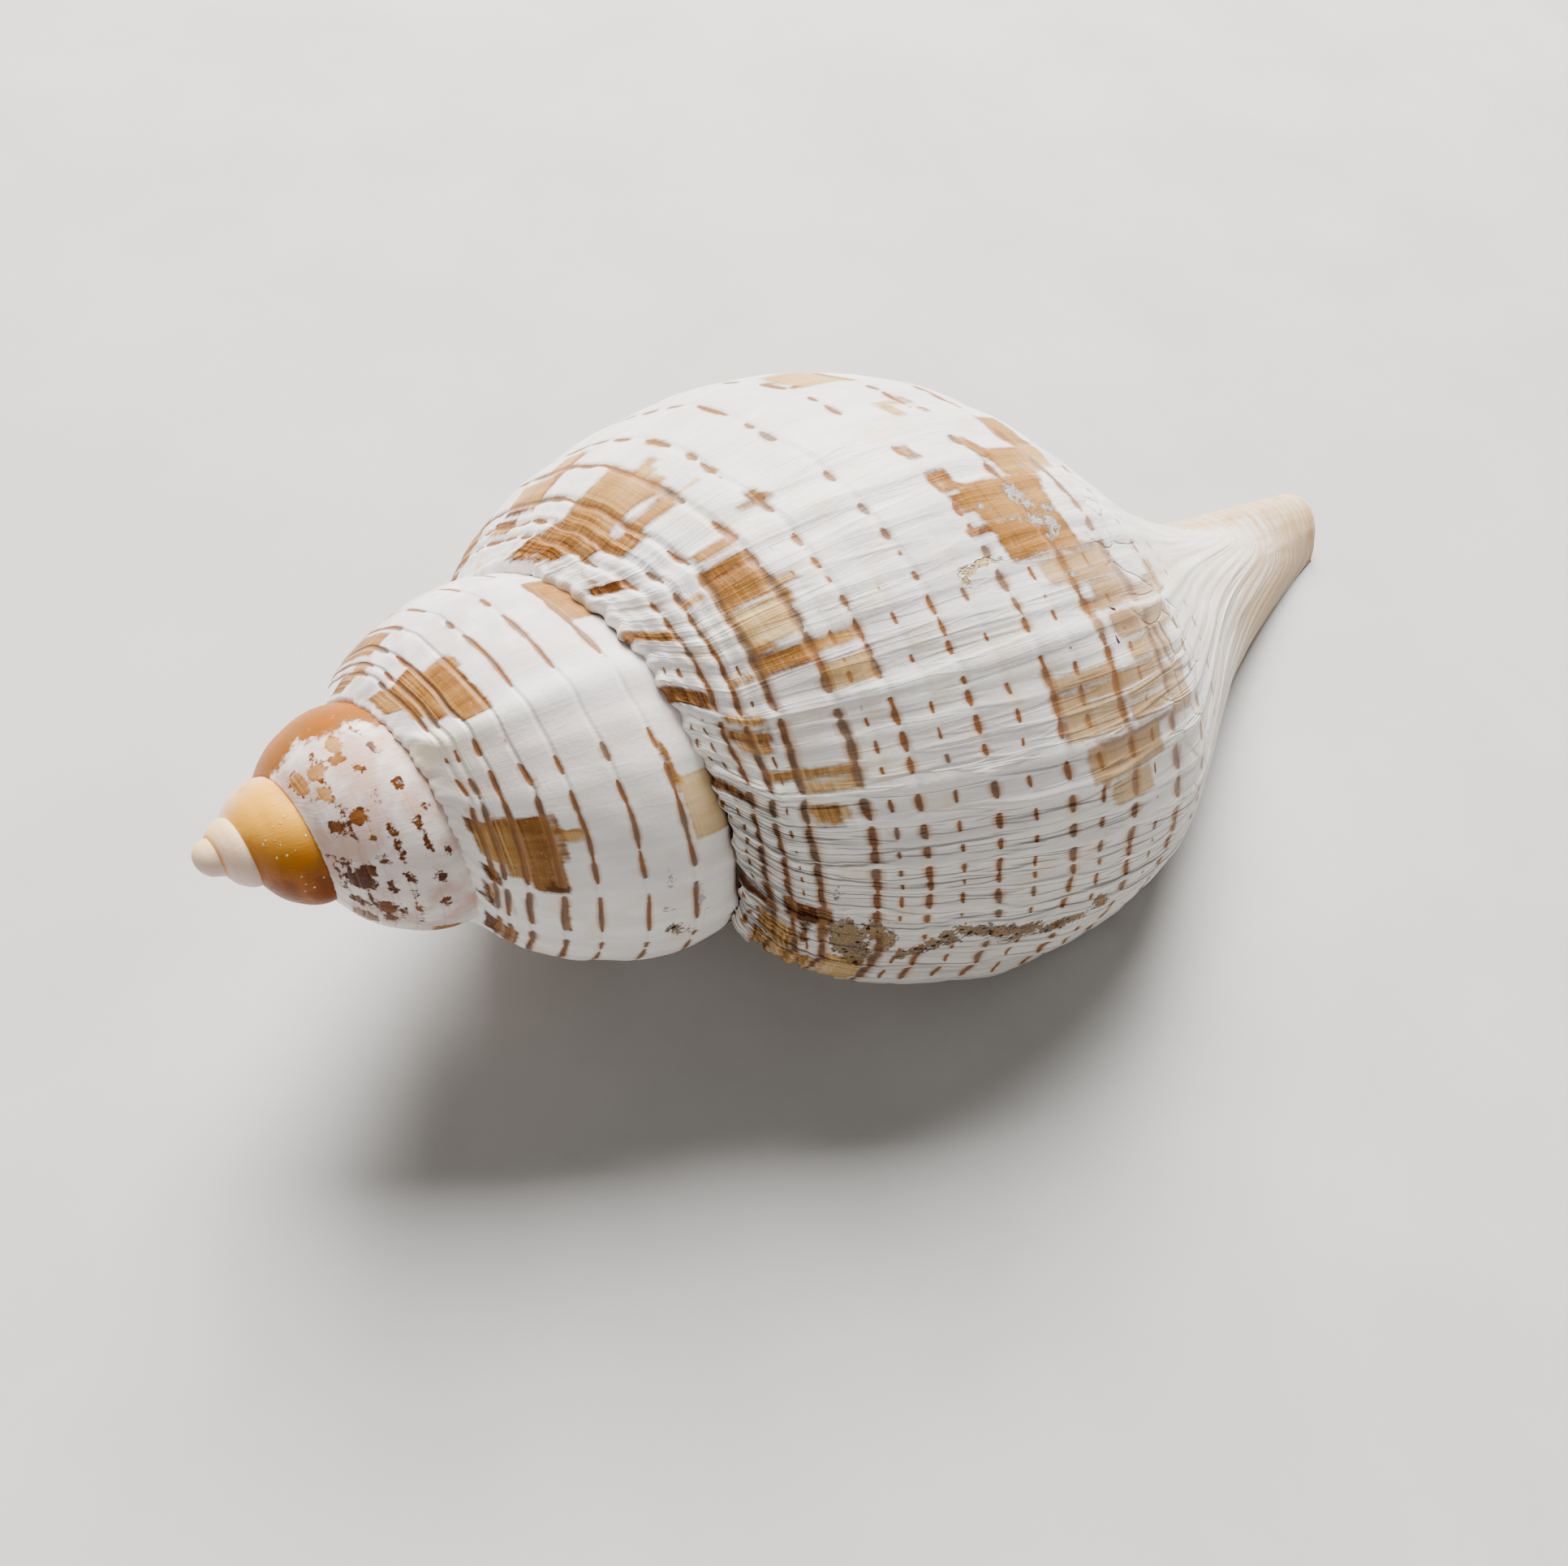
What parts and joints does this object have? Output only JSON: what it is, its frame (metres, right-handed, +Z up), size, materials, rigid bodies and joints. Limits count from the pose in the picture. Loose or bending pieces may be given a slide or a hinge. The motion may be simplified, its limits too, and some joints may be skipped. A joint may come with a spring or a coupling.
{
  "type": "sea snail shell",
  "caption": "Spindle-shaped, right-handed spiral sea snail shell with a pointed spire, a long oval mouth and an open canal, lying mouth down.",
  "frame": {"origin": "centre of the bounding box's bottom face, on the surface the shell rests on", "axes": "+X along the shell from apex to canal tip, +Z up, away from the mouth"},
  "size_m": [0.0914, 0.0406, 0.0326],
  "materials": {
    "shell_lime": "satin"
  },
  "bodies": {
    "root": {"shell": "shell_lime"}
  },
  "joints": []
}
